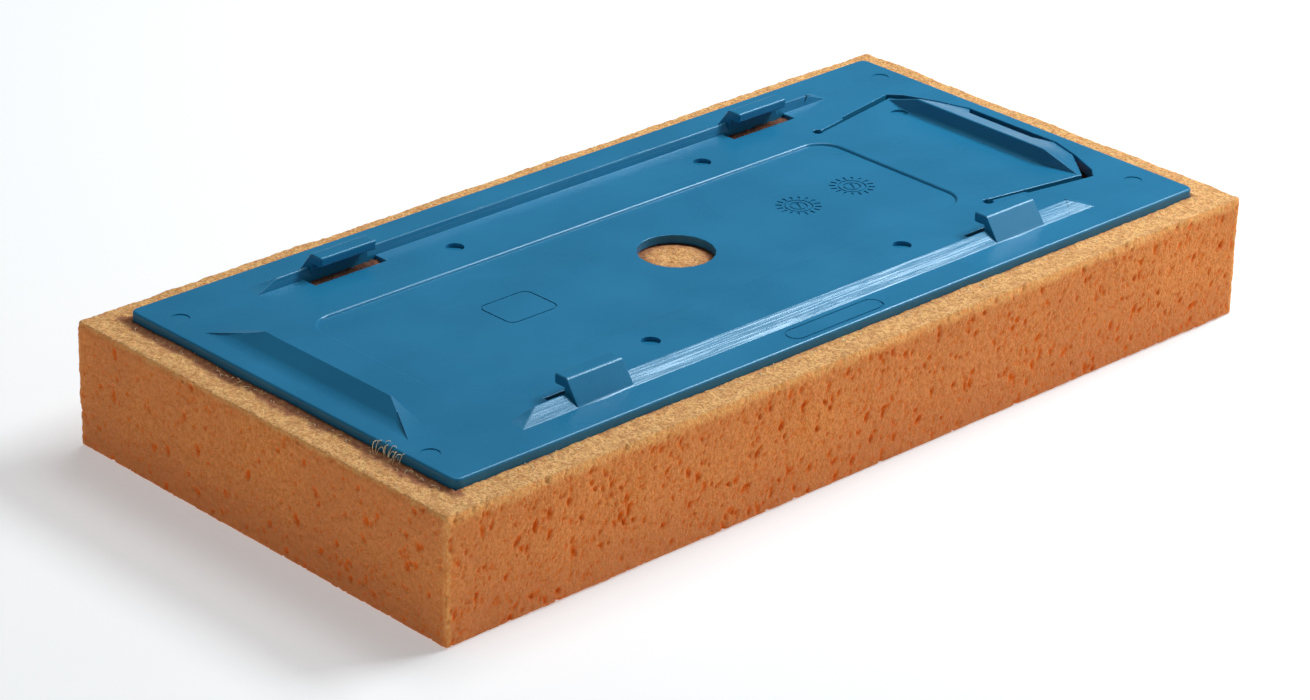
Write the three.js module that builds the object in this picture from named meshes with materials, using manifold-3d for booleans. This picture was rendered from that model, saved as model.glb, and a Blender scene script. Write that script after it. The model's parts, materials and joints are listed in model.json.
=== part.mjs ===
// Quick-change sponge pad of a grout float.
//
// A foam sponge block carries a moulded backing plate, held by a film of adhesive.
// The plate takes the base of a float handle: the base slides in under four hooks, between two
// rails, until it meets the end stop, and the ridge of a springy tongue snaps up behind it.
//
// Millimetres, +Z up. The origin is the centre of the sponge's working face.
// +X points to the latch end, and the part is symmetric about the XZ plane.

import * as THREE from 'three';
import { ConvexGeometry } from 'three/addons/geometries/ConvexGeometry.js';
import { mergeVertices } from 'three/addons/utils/BufferGeometryUtils.js';
import Module from 'manifold-3d';

const wasm = await Module();
wasm.setup();

// ---- Driving dimensions -------------------------------------------------------------------

const SIDES = [1, -1];
const ARC_SEGMENTS = 10;
const WELD_TOLERANCE = 1e-4;

// Stack, from the working face up.
const SPONGE_HEIGHT = 40.8;
const FACE_GAP = 0.1;
const FILM_THICKNESS = 0.3;
const PLATE_THICKNESS = 3.7;
const FILM_BOTTOM = SPONGE_HEIGHT + FACE_GAP;
const PLATE_BOTTOM = FILM_BOTTOM + FILM_THICKNESS + FACE_GAP;
const FLOOR = PLATE_BOTTOM + PLATE_THICKNESS;

// Outlines.
const SPONGE_LENGTH = 340;
const SPONGE_WIDTH = 169.5;
const SPONGE_CORNER = 1.6;
const SPONGE_EDGE = 0.8;
const PLATE_LENGTH = 315.5;
const PLATE_WIDTH = 149;
const PLATE_CORNER = 2.6;
const FILM_INSET = 1.2;

// Shallow recess in the middle of the seat, with sloping walls.
const RECESS_DEPTH = 0.8;
const RECESS_START = -124;
const RECESS_END = 95.5;
const RECESS_HALF_WIDTH = 33;
const RECESS_CORNER = 9;
const RECESS_WALL_RUN = 0.4;
const CENTRE_HOLE_X = -2.5;
const CENTRE_HOLE_RADIUS = 12.4;

// Rails: a steep inner face, a sharp crest and a sloping outer face, with hipped ends.
const RAIL_INNER_Y = 57.2;
const RAIL_CREST_Y = 58.3;
const RAIL_OUTER_Y = 63.4;
const RAIL_HEIGHT = 3.4;
const RAIL_BASE_START = -123;
const RAIL_BASE_END = 122;
const RAIL_CREST_START = -113;
const RAIL_CREST_END = 112.5;
const ROOT_DEPTH = 0.5;

// Hooks: two on each rail, each with a slot through the plate under its lip.
const HOOK_CENTRES = [-90.4, 87.2];
const HOOK_LENGTH = 22;
const HOOK_HEIGHT = 7.5;
const HOOK_CREST_Y = 58;
const LIP_EDGE_Y = 52.8;
const LIP_UNDERSIDE = 4.3;
const LIP_SLOT_INNER_Y = 51.9;
const LIP_SLOT_OVERRUN = 3;

// End stop: a wedge with an upright inner face and hipped ends.
const STOP_INNER_X = -142;
const STOP_OUTER_X = -149;
const STOP_CREST_X = -142.4;
const STOP_HEIGHT = 4.4;
const STOP_BASE_HALF_WIDTH = 43;
const STOP_CREST_HALF_WIDTH = 28.5;

// Latch tongue: a cantilever of the plate, thinner than the rest so that it can flex, and freed
// by a slot on each side and across its tip.
const HINGE_X = 100;
const TONGUE_THICKNESS = 2;
const ROOT_SEAM = 0.4;
const TONGUE_ROOT_Y = 37.2;
const TONGUE_CORNER_X = 138.2;
const TONGUE_CORNER_Y = 43.6;
const TONGUE_SHOULDER_X = 148.5;
const TONGUE_SHOULDER_Y = 30.5;
const TONGUE_TIP_X = 152;
const TONGUE_TIP_Y = 19;
const NOTCH_X = 146.5;
const NOTCH_Y = 14;
const TIP_GAP = 0.5;
const NARROW_SLOT = 1.2;
const WIDE_SLOT = 2.6;
const WIDE_SLOT_START = 113;
const SLOT_CORNER_X = 140.2;
const SLOT_END_RADIUS = 1.7;
const SLOT_END_X = 98.8;
const SLOT_END_Y = 38.4;
const CORNER_GAP_X = 144;
const CORNER_GAP_Y = 42.6;

// Latch ridge, across the tongue.
const RIDGE_HEIGHT = 5;
const RIDGE_FRONT_X = 134.3;
const RIDGE_CREST_X = 136;
const RIDGE_CREST_Y = 28.5;
const RIDGE_FRONT_Y = 29.7;
const RIDGE_TIP_X = 137.2;
const RIDGE_TIP_Y = 43.2;
const RIDGE_EDGE = 0.3;

// The adhesive stops this far outside the tongue's window, so that the tongue is free to flex.
const WINDOW_MARGIN = 1.2;

// ---- Solid helpers ------------------------------------------------------------------------

function solidOf(geometry) {
  const bare = geometry.clone();
  bare.deleteAttribute('normal');
  bare.deleteAttribute('uv');
  const welded = mergeVertices(bare, WELD_TOLERANCE);
  const vertProperties = new Float32Array(welded.attributes.position.array);
  const triVerts = new Uint32Array(welded.index.array);
  return new wasm.Manifold(new wasm.Mesh({ numProp: 3, vertProperties, triVerts }));
}

function geometryOf(solid) {
  const mesh = solid.getMesh();
  const geometry = new THREE.BufferGeometry();
  geometry.setAttribute('position', new THREE.BufferAttribute(mesh.vertProperties, 3));
  geometry.setIndex(new THREE.BufferAttribute(mesh.triVerts, 1));
  const flat = geometry.toNonIndexed();
  flat.computeVertexNormals();
  return flat;
}

// A prism of an outline in the XY plane, from one height to another.
function prism(shape, bottom, top) {
  const options = { depth: top - bottom, bevelEnabled: false, curveSegments: ARC_SEGMENTS };
  const geometry = new THREE.ExtrudeGeometry(shape, options);
  geometry.translate(0, 0, bottom);
  return solidOf(geometry);
}

// A bar along X whose cross-section is an outline in the YZ plane.
function barAlongX(shape, start, end) {
  const options = { depth: end - start, bevelEnabled: false };
  const geometry = new THREE.ExtrudeGeometry(shape, options);
  const turn = new THREE.Matrix4().makeBasis(
    new THREE.Vector3(0, 1, 0),
    new THREE.Vector3(0, 0, 1),
    new THREE.Vector3(1, 0, 0),
  );
  geometry.applyMatrix4(turn);
  geometry.translate(start, 0, 0);
  return solidOf(geometry);
}

function hullOf(points) {
  return solidOf(new ConvexGeometry(points.map(([x, y, z]) => new THREE.Vector3(x, y, z))));
}

function outline(points) {
  return new THREE.Shape(points.map(([x, y]) => new THREE.Vector2(x, y)));
}

// An outline that is symmetric about the X axis, from its points on the +Y side.
function mirroredOutline(upper) {
  const lower = upper.map(([x, y]) => [x, -y]).reverse();
  return [...upper, ...lower];
}

function roundedRectangle(xMin, xMax, yMin, yMax, radius) {
  const quarter = Math.PI / 2;
  const shape = new THREE.Shape();
  shape.absarc(xMax - radius, yMin + radius, radius, -quarter, 0, false);
  shape.absarc(xMax - radius, yMax - radius, radius, 0, quarter, false);
  shape.absarc(xMin + radius, yMax - radius, radius, quarter, 2 * quarter, false);
  shape.absarc(xMin + radius, yMin + radius, radius, 2 * quarter, 3 * quarter, false);
  return shape;
}

function centredRectangle(length, width, radius) {
  return roundedRectangle(-length / 2, length / 2, -width / 2, width / 2, radius);
}

function disc(x, y, radius) {
  const shape = new THREE.Shape();
  shape.absarc(x, y, radius, 0, 2 * Math.PI, false);
  return shape;
}

// ---- Cuts shared by the layers ------------------------------------------------------------

function tongueEdgeY(x) {
  const rise = (TONGUE_CORNER_Y - TONGUE_ROOT_Y) / (TONGUE_CORNER_X - HINGE_X);
  return TONGUE_ROOT_Y + rise * (x - HINGE_X);
}

// The window in the plate that the tongue lies in, slots included.
function tongueWindow(bottom, top) {
  const upper = [
    [HINGE_X, SLOT_END_Y],
    [HINGE_X, tongueEdgeY(HINGE_X) + NARROW_SLOT],
    [WIDE_SLOT_START, tongueEdgeY(WIDE_SLOT_START) + NARROW_SLOT],
    [WIDE_SLOT_START + 1, tongueEdgeY(WIDE_SLOT_START) + WIDE_SLOT],
    [SLOT_CORNER_X, tongueEdgeY(SLOT_CORNER_X) + WIDE_SLOT],
    [CORNER_GAP_X, CORNER_GAP_Y],
    [TONGUE_SHOULDER_X + TIP_GAP, TONGUE_SHOULDER_Y + TIP_GAP],
    [TONGUE_TIP_X + TIP_GAP, TONGUE_TIP_Y + TIP_GAP],
  ];
  let window = prism(outline(mirroredOutline(upper)), bottom, top);
  for (const side of SIDES) {
    const slotEnd = disc(SLOT_END_X, side * SLOT_END_Y, SLOT_END_RADIUS);
    window = window.add(prism(slotEnd, bottom, top));
  }
  return window;
}

function lipSlots(bottom, top) {
  const halfLength = HOOK_LENGTH / 2 + LIP_SLOT_OVERRUN;
  const slots = [];
  for (const centre of HOOK_CENTRES) {
    for (const side of SIDES) {
      const corners = [
        [centre - halfLength, side * LIP_SLOT_INNER_Y],
        [centre + halfLength, side * LIP_SLOT_INNER_Y],
        [centre + halfLength, side * RAIL_INNER_Y],
        [centre - halfLength, side * RAIL_INNER_Y],
      ];
      slots.push(prism(outline(corners), bottom, top));
    }
  }
  return slots;
}

// The opening in the adhesive under the tongue and its slots.
function adhesiveWindow(bottom, top) {
  const upper = [
    [HINGE_X - WINDOW_MARGIN, SLOT_END_Y + WINDOW_MARGIN],
    [SLOT_CORNER_X, TONGUE_CORNER_Y + WIDE_SLOT + WINDOW_MARGIN],
    [CORNER_GAP_X + WINDOW_MARGIN, CORNER_GAP_Y + WINDOW_MARGIN],
    [TONGUE_TIP_X + WINDOW_MARGIN, TONGUE_TIP_Y + WINDOW_MARGIN],
  ];
  return prism(outline(mirroredOutline(upper)), bottom, top);
}

// ---- Sub-parts ----------------------------------------------------------------------------

function spongeBlock() {
  const innerLength = SPONGE_LENGTH - 2 * SPONGE_EDGE;
  const innerWidth = SPONGE_WIDTH - 2 * SPONGE_EDGE;
  const shape = centredRectangle(innerLength, innerWidth, SPONGE_CORNER - SPONGE_EDGE);
  const geometry = new THREE.ExtrudeGeometry(shape, {
    depth: SPONGE_HEIGHT - 2 * SPONGE_EDGE,
    bevelThickness: SPONGE_EDGE,
    bevelSize: SPONGE_EDGE,
    bevelSegments: 2,
    curveSegments: ARC_SEGMENTS / 2,
  });
  geometry.translate(0, 0, SPONGE_EDGE);
  return solidOf(geometry);
}

function adhesiveFilm() {
  const length = PLATE_LENGTH - 2 * FILM_INSET;
  const width = PLATE_WIDTH - 2 * FILM_INSET;
  const top = FILM_BOTTOM + FILM_THICKNESS;
  const below = FILM_BOTTOM - 1;
  const above = top + 1;
  let film = prism(centredRectangle(length, width, PLATE_CORNER - FILM_INSET), FILM_BOTTOM, top);
  film = film.subtract(adhesiveWindow(below, above));
  film = film.subtract(prism(disc(CENTRE_HOLE_X, 0, CENTRE_HOLE_RADIUS), below, above));
  for (const slot of lipSlots(below, above)) {
    film = film.subtract(slot);
  }
  return film;
}

// The recess as a stack of two outlines joined by sloping walls.
function recessCut() {
  const over = RECESS_WALL_RUN / RECESS_DEPTH;
  const geometry = new THREE.ExtrudeGeometry(
    roundedRectangle(
      RECESS_START + RECESS_WALL_RUN,
      RECESS_END - RECESS_WALL_RUN,
      -RECESS_HALF_WIDTH + RECESS_WALL_RUN,
      RECESS_HALF_WIDTH - RECESS_WALL_RUN,
      RECESS_CORNER - RECESS_WALL_RUN,
    ),
    { depth: 2 * RECESS_DEPTH, bevelEnabled: false, curveSegments: ARC_SEGMENTS },
  );
  geometry.translate(0, 0, FLOOR - RECESS_DEPTH);
  // Every point above the recess floor moves outwards, along the line from the nearest corner
  // centre, by as much as the wall slopes.
  const position = geometry.attributes.position;
  const coreX = [RECESS_START + RECESS_CORNER, RECESS_END - RECESS_CORNER];
  const coreY = RECESS_HALF_WIDTH - RECESS_CORNER;
  for (let i = 0; i < position.count; i += 1) {
    const x = position.getX(i);
    const y = position.getY(i);
    const rise = position.getZ(i) - (FLOOR - RECESS_DEPTH);
    const nearX = THREE.MathUtils.clamp(x, coreX[0], coreX[1]);
    const nearY = THREE.MathUtils.clamp(y, -coreY, coreY);
    const out = new THREE.Vector2(x - nearX, y - nearY).normalize().multiplyScalar(rise * over);
    position.setXY(i, x + out.x, y + out.y);
  }
  return solidOf(geometry);
}

function rail(side) {
  const points = [];
  for (const z of [FLOOR, FLOOR - ROOT_DEPTH]) {
    for (const x of [RAIL_BASE_START, RAIL_BASE_END]) {
      points.push([x, side * RAIL_INNER_Y, z]);
      points.push([x, side * RAIL_OUTER_Y, z]);
    }
  }
  for (const x of [RAIL_CREST_START, RAIL_CREST_END]) {
    points.push([x, side * RAIL_CREST_Y, FLOOR + RAIL_HEIGHT]);
  }
  return hullOf(points);
}

function hook(side, centre) {
  const section = outline([
    [side * RAIL_OUTER_Y, FLOOR - ROOT_DEPTH],
    [side * RAIL_OUTER_Y, FLOOR],
    [side * HOOK_CREST_Y, FLOOR + HOOK_HEIGHT],
    [side * LIP_EDGE_Y, FLOOR + HOOK_HEIGHT],
    [side * LIP_EDGE_Y, FLOOR + LIP_UNDERSIDE],
    [side * RAIL_INNER_Y, FLOOR + LIP_UNDERSIDE],
    [side * RAIL_INNER_Y, FLOOR - ROOT_DEPTH],
  ]);
  return barAlongX(section, centre - HOOK_LENGTH / 2, centre + HOOK_LENGTH / 2);
}

function endStop() {
  const points = [];
  for (const side of SIDES) {
    for (const z of [FLOOR, FLOOR - ROOT_DEPTH]) {
      points.push([STOP_INNER_X, side * STOP_BASE_HALF_WIDTH, z]);
      points.push([STOP_OUTER_X, side * STOP_BASE_HALF_WIDTH, z]);
    }
    points.push([STOP_INNER_X, side * STOP_CREST_HALF_WIDTH, FLOOR + STOP_HEIGHT]);
    points.push([STOP_CREST_X, side * STOP_CREST_HALF_WIDTH, FLOOR + STOP_HEIGHT]);
  }
  return hullOf(points);
}

function backingPlate() {
  const shape = centredRectangle(PLATE_LENGTH, PLATE_WIDTH, PLATE_CORNER);
  const below = PLATE_BOTTOM - 1;
  const above = FLOOR + 1;
  let plate = prism(shape, PLATE_BOTTOM, FLOOR);
  plate = plate.subtract(recessCut());
  plate = plate.subtract(prism(disc(CENTRE_HOLE_X, 0, CENTRE_HOLE_RADIUS), below, above));
  plate = plate.subtract(tongueWindow(below, above));
  plate = plate.add(endStop());
  for (const side of SIDES) {
    plate = plate.add(rail(side));
    for (const centre of HOOK_CENTRES) {
      plate = plate.add(hook(side, centre));
    }
  }
  for (const slot of lipSlots(below, above)) {
    plate = plate.subtract(slot);
  }
  return plate;
}

function latchRidge() {
  const points = [];
  for (const side of SIDES) {
    points.push([RIDGE_CREST_X, side * RIDGE_CREST_Y, FLOOR + RIDGE_HEIGHT]);
    for (const z of [FLOOR, FLOOR - ROOT_DEPTH]) {
      points.push([RIDGE_FRONT_X, side * RIDGE_FRONT_Y, z]);
      points.push([RIDGE_TIP_X, side * RIDGE_TIP_Y, z]);
      points.push([TONGUE_SHOULDER_X - RIDGE_EDGE, side * TONGUE_SHOULDER_Y, z]);
      points.push([TONGUE_TIP_X - RIDGE_EDGE, side * TONGUE_TIP_Y, z]);
    }
  }
  return hullOf(points);
}

function latchTongue() {
  const upper = [
    [HINGE_X + ROOT_SEAM, TONGUE_ROOT_Y],
    [TONGUE_CORNER_X, TONGUE_CORNER_Y],
    [TONGUE_SHOULDER_X, TONGUE_SHOULDER_Y],
    [TONGUE_TIP_X, TONGUE_TIP_Y],
  ];
  const notch = [
    [NOTCH_X, NOTCH_Y],
    [TONGUE_TIP_X + 1, TONGUE_TIP_Y + (TONGUE_TIP_Y - NOTCH_Y) / (TONGUE_TIP_X - NOTCH_X)],
  ];
  const bottom = FLOOR - TONGUE_THICKNESS;
  const tongue = prism(outline(mirroredOutline(upper)), bottom, FLOOR).add(latchRidge());
  const cut = outline(mirroredOutline(notch));
  return tongue.subtract(prism(cut, bottom - 1, FLOOR + RIDGE_HEIGHT));
}

// ---- The part -----------------------------------------------------------------------------

const ORANGE_FOAM = { color: 0xc9793f, roughness: 0.95, metalness: 0 };
const AMBER_GLUE = { color: 0x8a5a3a, roughness: 0.5, metalness: 0 };
const BLUE_PLASTIC = { color: 0x2f78a3, roughness: 0.42, metalness: 0 };

const part = new THREE.Group();

function addNode(name, solid, finish) {
  const mesh = new THREE.Mesh(geometryOf(solid), new THREE.MeshStandardMaterial(finish));
  mesh.name = name;
  part.add(mesh);
}

addNode('sponge_block', spongeBlock(), ORANGE_FOAM);
addNode('adhesive_film', adhesiveFilm(), AMBER_GLUE);
addNode('backing_plate', backingPlate(), BLUE_PLASTIC);
addNode('latch_tongue', latchTongue(), BLUE_PLASTIC);

export default part;
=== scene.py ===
import json
import math
from contextlib import contextmanager

import bmesh
import bpy
import numpy as np
from mathutils import Matrix, Vector
from mathutils.geometry import convex_hull_2d


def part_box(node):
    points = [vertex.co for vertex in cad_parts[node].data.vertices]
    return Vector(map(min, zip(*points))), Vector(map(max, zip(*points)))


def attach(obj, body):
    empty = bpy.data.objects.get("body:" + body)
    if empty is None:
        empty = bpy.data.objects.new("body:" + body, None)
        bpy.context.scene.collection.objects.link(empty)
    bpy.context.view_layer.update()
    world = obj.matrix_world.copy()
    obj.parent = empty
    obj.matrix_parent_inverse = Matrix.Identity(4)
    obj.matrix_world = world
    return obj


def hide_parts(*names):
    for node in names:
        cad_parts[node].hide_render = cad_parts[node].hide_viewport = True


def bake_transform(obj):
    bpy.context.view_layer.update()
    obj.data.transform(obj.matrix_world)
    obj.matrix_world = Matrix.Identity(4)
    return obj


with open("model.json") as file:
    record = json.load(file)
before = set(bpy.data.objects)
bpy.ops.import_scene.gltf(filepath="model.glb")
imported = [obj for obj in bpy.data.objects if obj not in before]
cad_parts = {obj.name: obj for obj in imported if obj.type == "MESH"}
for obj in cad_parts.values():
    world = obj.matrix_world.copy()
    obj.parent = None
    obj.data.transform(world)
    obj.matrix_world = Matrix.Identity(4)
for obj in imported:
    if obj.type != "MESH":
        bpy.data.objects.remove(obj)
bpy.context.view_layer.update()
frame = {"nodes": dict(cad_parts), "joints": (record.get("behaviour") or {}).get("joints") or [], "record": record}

# Looks of the quick-change sponge pad of a grout float. Lengths are millimetres in the named
# values and in every helper, and become metres where a mesh or a node is made. Only the stage
# (floor and softboxes) is given in metres.
# +X points to the latch end, +Z up, and the sponge stands on Z = 0.

MM = 0.001

# ---- Values taken from the frame ----


def corners_mm(node):
    """Lowest and highest corner of a CAD node, in millimetres."""
    low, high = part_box(node)
    return np.array(low) / MM, np.array(high) / MM


def mount_point(name):
    """A mount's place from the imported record, in millimetres."""
    found = [mount for mount in frame["record"]["mounts"] if mount["name"] == name]
    return np.array(found[0]["pos_m"]) / MM


SPONGE_LOW, SPONGE_HIGH = corners_mm("sponge_block")
PLATE_LOW, PLATE_HIGH = corners_mm("backing_plate")
TONGUE_LOW, TONGUE_HIGH = corners_mm("latch_tongue")
FILM_LOW, FILM_HIGH = corners_mm("adhesive_film")
FLOOR_Z = mount_point("seat_floor")[2]
HINGE_X = frame["joints"][0]["pos_m"][0] / MM
PRESS_ANGLE = math.radians(frame["joints"][0]["range_deg"][1])

# Places on the moulding that more than one piece uses.
HOOK_X = (-90.4, 87.2)
HOOK_HALF_LENGTH = 11.0
HOLE_X = -2.5
HOLE_RADIUS = 12.4

# ---- Camera ----

IMAGE_WIDTH = 1310
SENSOR = 36.0
FOCAL = 4274.4
CAMERA_AZIMUTH = math.radians(-44.36)
CAMERA_ELEVATION = math.radians(25.185)
CAMERA_ROLL = math.radians(1.44)
CAMERA_DISTANCE = 1329.0
CAMERA_TARGET = Vector((-7.134, -12.346, 20.0))
CAMERA_SHIFT = (-0.0275, -0.0091)


def make_camera():
    a, e = CAMERA_AZIMUTH, CAMERA_ELEVATION
    back = Vector((math.sin(a) * math.cos(e), -math.cos(a) * math.cos(e), math.sin(e)))
    right = Vector((0, 0, 1)).cross(back).normalized()
    up = back.cross(right)
    c, s = math.cos(CAMERA_ROLL), math.sin(CAMERA_ROLL)
    rolled_right = c * right + s * up
    rolled_up = -s * right + c * up
    turn = Matrix((rolled_right, rolled_up, back)).transposed().to_4x4()
    data = bpy.data.cameras.new("camera")
    data.sensor_width = SENSOR
    data.lens = FOCAL / IMAGE_WIDTH * SENSOR
    data.shift_x, data.shift_y = CAMERA_SHIFT
    data.clip_end = 50
    camera = bpy.data.objects.new("camera", data)
    camera.matrix_world = Matrix.Translation((CAMERA_TARGET + back * CAMERA_DISTANCE) * MM) @ turn
    bpy.context.scene.collection.objects.link(camera)
    bpy.context.scene.camera = camera


# ---- Stage ----

STAGE_SIZE = 6.0
WORLD_COLOUR = (0.90, 0.95, 1.0)
WORLD_STRENGTH = 0.14

# Name, place, width, height, radiance (W per square metre and steradian), colour.
SOFTBOXES = [
    ("key", (0.80, -0.23, 0.92), 0.54, 0.31, 26.0, (0.90, 0.96, 1.0)),
    ("top", (0.45, 0.25, 1.30), 0.7, 0.5, 6.6, (0.97, 0.99, 1.0)),
    ("front", (0.85, -0.62, 0.46), 0.42, 0.32, 2.4, (0.97, 0.99, 1.0)),
    ("left", (-1.5, -0.3, 0.45), 1.0, 0.6, 0.95, (1.0, 0.99, 0.98)),
]


def make_softbox(name, place, width, height, radiance, colour):
    data = bpy.data.lights.new(name, "AREA")
    data.shape = "RECTANGLE"
    data.size = width
    data.size_y = height
    data.energy = radiance * math.pi * width * height
    data.color = colour
    light = bpy.data.objects.new(name, data)
    light.location = place
    light.rotation_mode = "QUATERNION"
    light.rotation_quaternion = Vector(place).to_track_quat("Z", "Y")
    light.visible_camera = False
    bpy.context.scene.collection.objects.link(light)


def make_stage():
    scene = bpy.context.scene
    scene.view_settings.view_transform = "Standard"
    world = bpy.data.worlds.new("studio")
    world.use_nodes = True
    background = world.node_tree.nodes["Background"]
    background.inputs["Color"].default_value = (*WORLD_COLOUR, 1)
    background.inputs["Strength"].default_value = WORLD_STRENGTH
    scene.world = world
    for softbox in SOFTBOXES:
        make_softbox(*softbox)
    half = STAGE_SIZE / 2
    corners = [(-half, -half, 0), (half, -half, 0), (half, half, 0), (-half, half, 0)]
    mesh = bpy.data.meshes.new("studio_floor")
    mesh.from_pydata(corners, [], [(0, 1, 2, 3)])
    mesh.materials.append(floor_material())
    floor = bpy.data.objects.new("studio_floor", mesh)
    scene.collection.objects.link(floor)


# ---- Material helpers ----


class Nodes:
    """A material's node tree, with short calls for the nodes that the materials here use."""

    def __init__(self, name):
        self.material = bpy.data.materials.new(name)
        self.material.use_nodes = True
        self.tree = self.material.node_tree
        self.surface = self.tree.nodes["Principled BSDF"]
        self.place = self.tree.nodes.new("ShaderNodeTexCoord").outputs["Object"]

    def feed(self, socket, value):
        """Links an output to a socket, or sets a plain value on it."""
        if isinstance(value, bpy.types.NodeSocket):
            self.tree.links.new(value, socket)
        else:
            socket.default_value = value

    def add(self, kind, inputs, **settings):
        """A node with its settings, and with its inputs linked or set."""
        node = self.tree.nodes.new(kind)
        for key, value in settings.items():
            setattr(node, key, value)
        for key, value in inputs.items():
            self.feed(node.inputs[key], value)
        return node

    def shade(self, name, value):
        """Sets one property of the surface."""
        self.feed(self.surface.inputs[name], value)

    def stretched(self, scale):
        """The point with its coordinates scaled: a pattern is longer where the scale is less."""
        node = self.add("ShaderNodeMapping", {"Vector": self.place, "Scale": scale})
        return node.outputs["Vector"]

    def noise(self, grain, detail=3.0, rough=0.55, vector=None):
        """Noise in 0...1 whose grain is about this many millimetres."""
        inputs = {
            "Vector": self.place if vector is None else vector,
            "Scale": 1 / (grain * MM),
            "Detail": detail,
            "Roughness": rough,
        }
        return self.add("ShaderNodeTexNoise", inputs).outputs["Fac"]

    def cells(self, grain):
        """Distance from the nearest cell's centre, in cells this many millimetres wide."""
        inputs = {"Vector": self.place, "Scale": 1 / (grain * MM)}
        return self.add("ShaderNodeTexVoronoi", inputs).outputs["Distance"]

    def span(self, value, low, high, to_low=0.0, to_high=1.0):
        """value mapped from low...high to to_low...to_high, and held at both ends."""
        inputs = {
            "Value": value,
            "From Min": low,
            "From Max": high,
            "To Min": to_low,
            "To Max": to_high,
        }
        node = self.add("ShaderNodeMapRange", inputs, interpolation_type="SMOOTHSTEP")
        return node.outputs["Result"]

    def maths(self, operation, a, b=0.0):
        return self.add("ShaderNodeMath", {0: a, 1: b}, operation=operation).outputs["Value"]

    def mix(self, factor, a, b):
        """Colour a where the factor is 0, and b where it is 1."""
        node = self.add("ShaderNodeMix", {"Factor": factor}, data_type="RGBA")
        for name, value in (("A", a), ("B", b)):
            socket = [s for s in node.inputs if s.name == name and s.type == "RGBA"][0]
            self.feed(socket, value if isinstance(value, bpy.types.NodeSocket) else (*value, 1))
        return [s for s in node.outputs if s.type == "RGBA"][0]

    def coordinate(self, axis):
        """X, Y or Z of the point, in metres."""
        return self.add("ShaderNodeSeparateXYZ", {"Vector": self.place}).outputs[axis]

    def attribute(self, name):
        return self.add("ShaderNodeAttribute", {}, attribute_name=name).outputs["Fac"]

    def bump(self, height, distance, strength=1.0, normal=None):
        """Bump whose full height is distance, in millimetres, on top of another one if given."""
        inputs = {"Height": height, "Distance": distance * MM, "Strength": strength}
        if normal is not None:
            inputs["Normal"] = normal
        return self.add("ShaderNodeBump", inputs).outputs["Normal"]


# ---- Materials ----

FLOOR_FADE_START = 0.8
FLOOR_FADE_END = 1.7
FLOOR_PALE = (0.64, 0.64, 0.64)
FLOOR_GREY = (0.60, 0.60, 0.60)
FLOOR_DIM = (0.14, 0.14, 0.14)
FLOOR_GLOW = (0.36, 0.36, 0.36)
FOAM_LIGHT = (0.89, 0.325, 0.085)
FOAM_DARK = (0.72, 0.220, 0.050)
FOAM_CLOUD = (0.68, 0.220, 0.070)
FOAM_PORE_SHADE = (0.82, 0.145, 0.008)
FOAM_RIM_AND_HIGHLIGHT = (0.92, 0.47, 0.15)
FOAM_SKIN = (0.82, 0.47, 0.185)
FOAM_SKIN_DARK = (0.50, 0.215, 0.072)
FOAM_BASE_SHADE = (0.60, 0.190, 0.060)
FOAM_GLINT = (0.98, 0.80, 0.55)
FOAM_GLUE_AND_SHADE = (0.33, 0.125, 0.060)
FOAM_GLUE_AND_DEEP_SHADE = (0.105, 0.042, 0.026)
FIBRE_PALE = (0.98, 0.86, 0.60)
FIBRE_TAN = (0.88, 0.64, 0.34)
FOAM_GLOW_DEPTH = 1.2
FOAM_GLOW_RADII = (1.0, 0.35, 0.12)
BASE_SHADE_TOP = 24.0
PLASTIC_BLUE = (0.015, 0.180, 0.338)
PLASTIC_DEEP = (0.012, 0.158, 0.302)
PLASTIC_SCUFF = (0.07, 0.29, 0.47)
PLASTIC_GLOSS = (0.62, 0.85, 1.0, 1.0)
GLUE_AMBER = (0.40, 0.17, 0.06)
GLUE_DARK = (0.15, 0.04, 0.02)

# Where the rails are scored: across from the centre line, above the floor, and clear of the hooks.
SCORED_ACROSS = (57.0, 57.6)
SCORED_RISE = (0.05, 0.25)
SCORED_FADE = 0.3


def floor_material():
    """Pale floor that glows a little, so that shadows stay soft, and darkens far from the part."""
    nodes = Nodes("studio_floor")
    away = nodes.add("ShaderNodeVectorMath", {0: nodes.place}, operation="LENGTH")
    fade = nodes.span(away.outputs["Value"], FLOOR_FADE_START, FLOOR_FADE_END)
    grain = nodes.span(nodes.noise(60.0, 2.0), 0.3, 0.7, 0.97, 1.0)
    near = nodes.mix(grain, FLOOR_GREY, FLOOR_PALE)
    nodes.shade("Base Color", nodes.mix(fade, near, FLOOR_DIM))
    nodes.shade("Roughness", 0.9)
    nodes.shade("Specular IOR Level", 0.0)
    nodes.shade("Emission Color", nodes.mix(fade, FLOOR_GLOW, FLOOR_DIM))
    nodes.shade("Emission Strength", 1.0)
    return nodes.material


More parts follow.
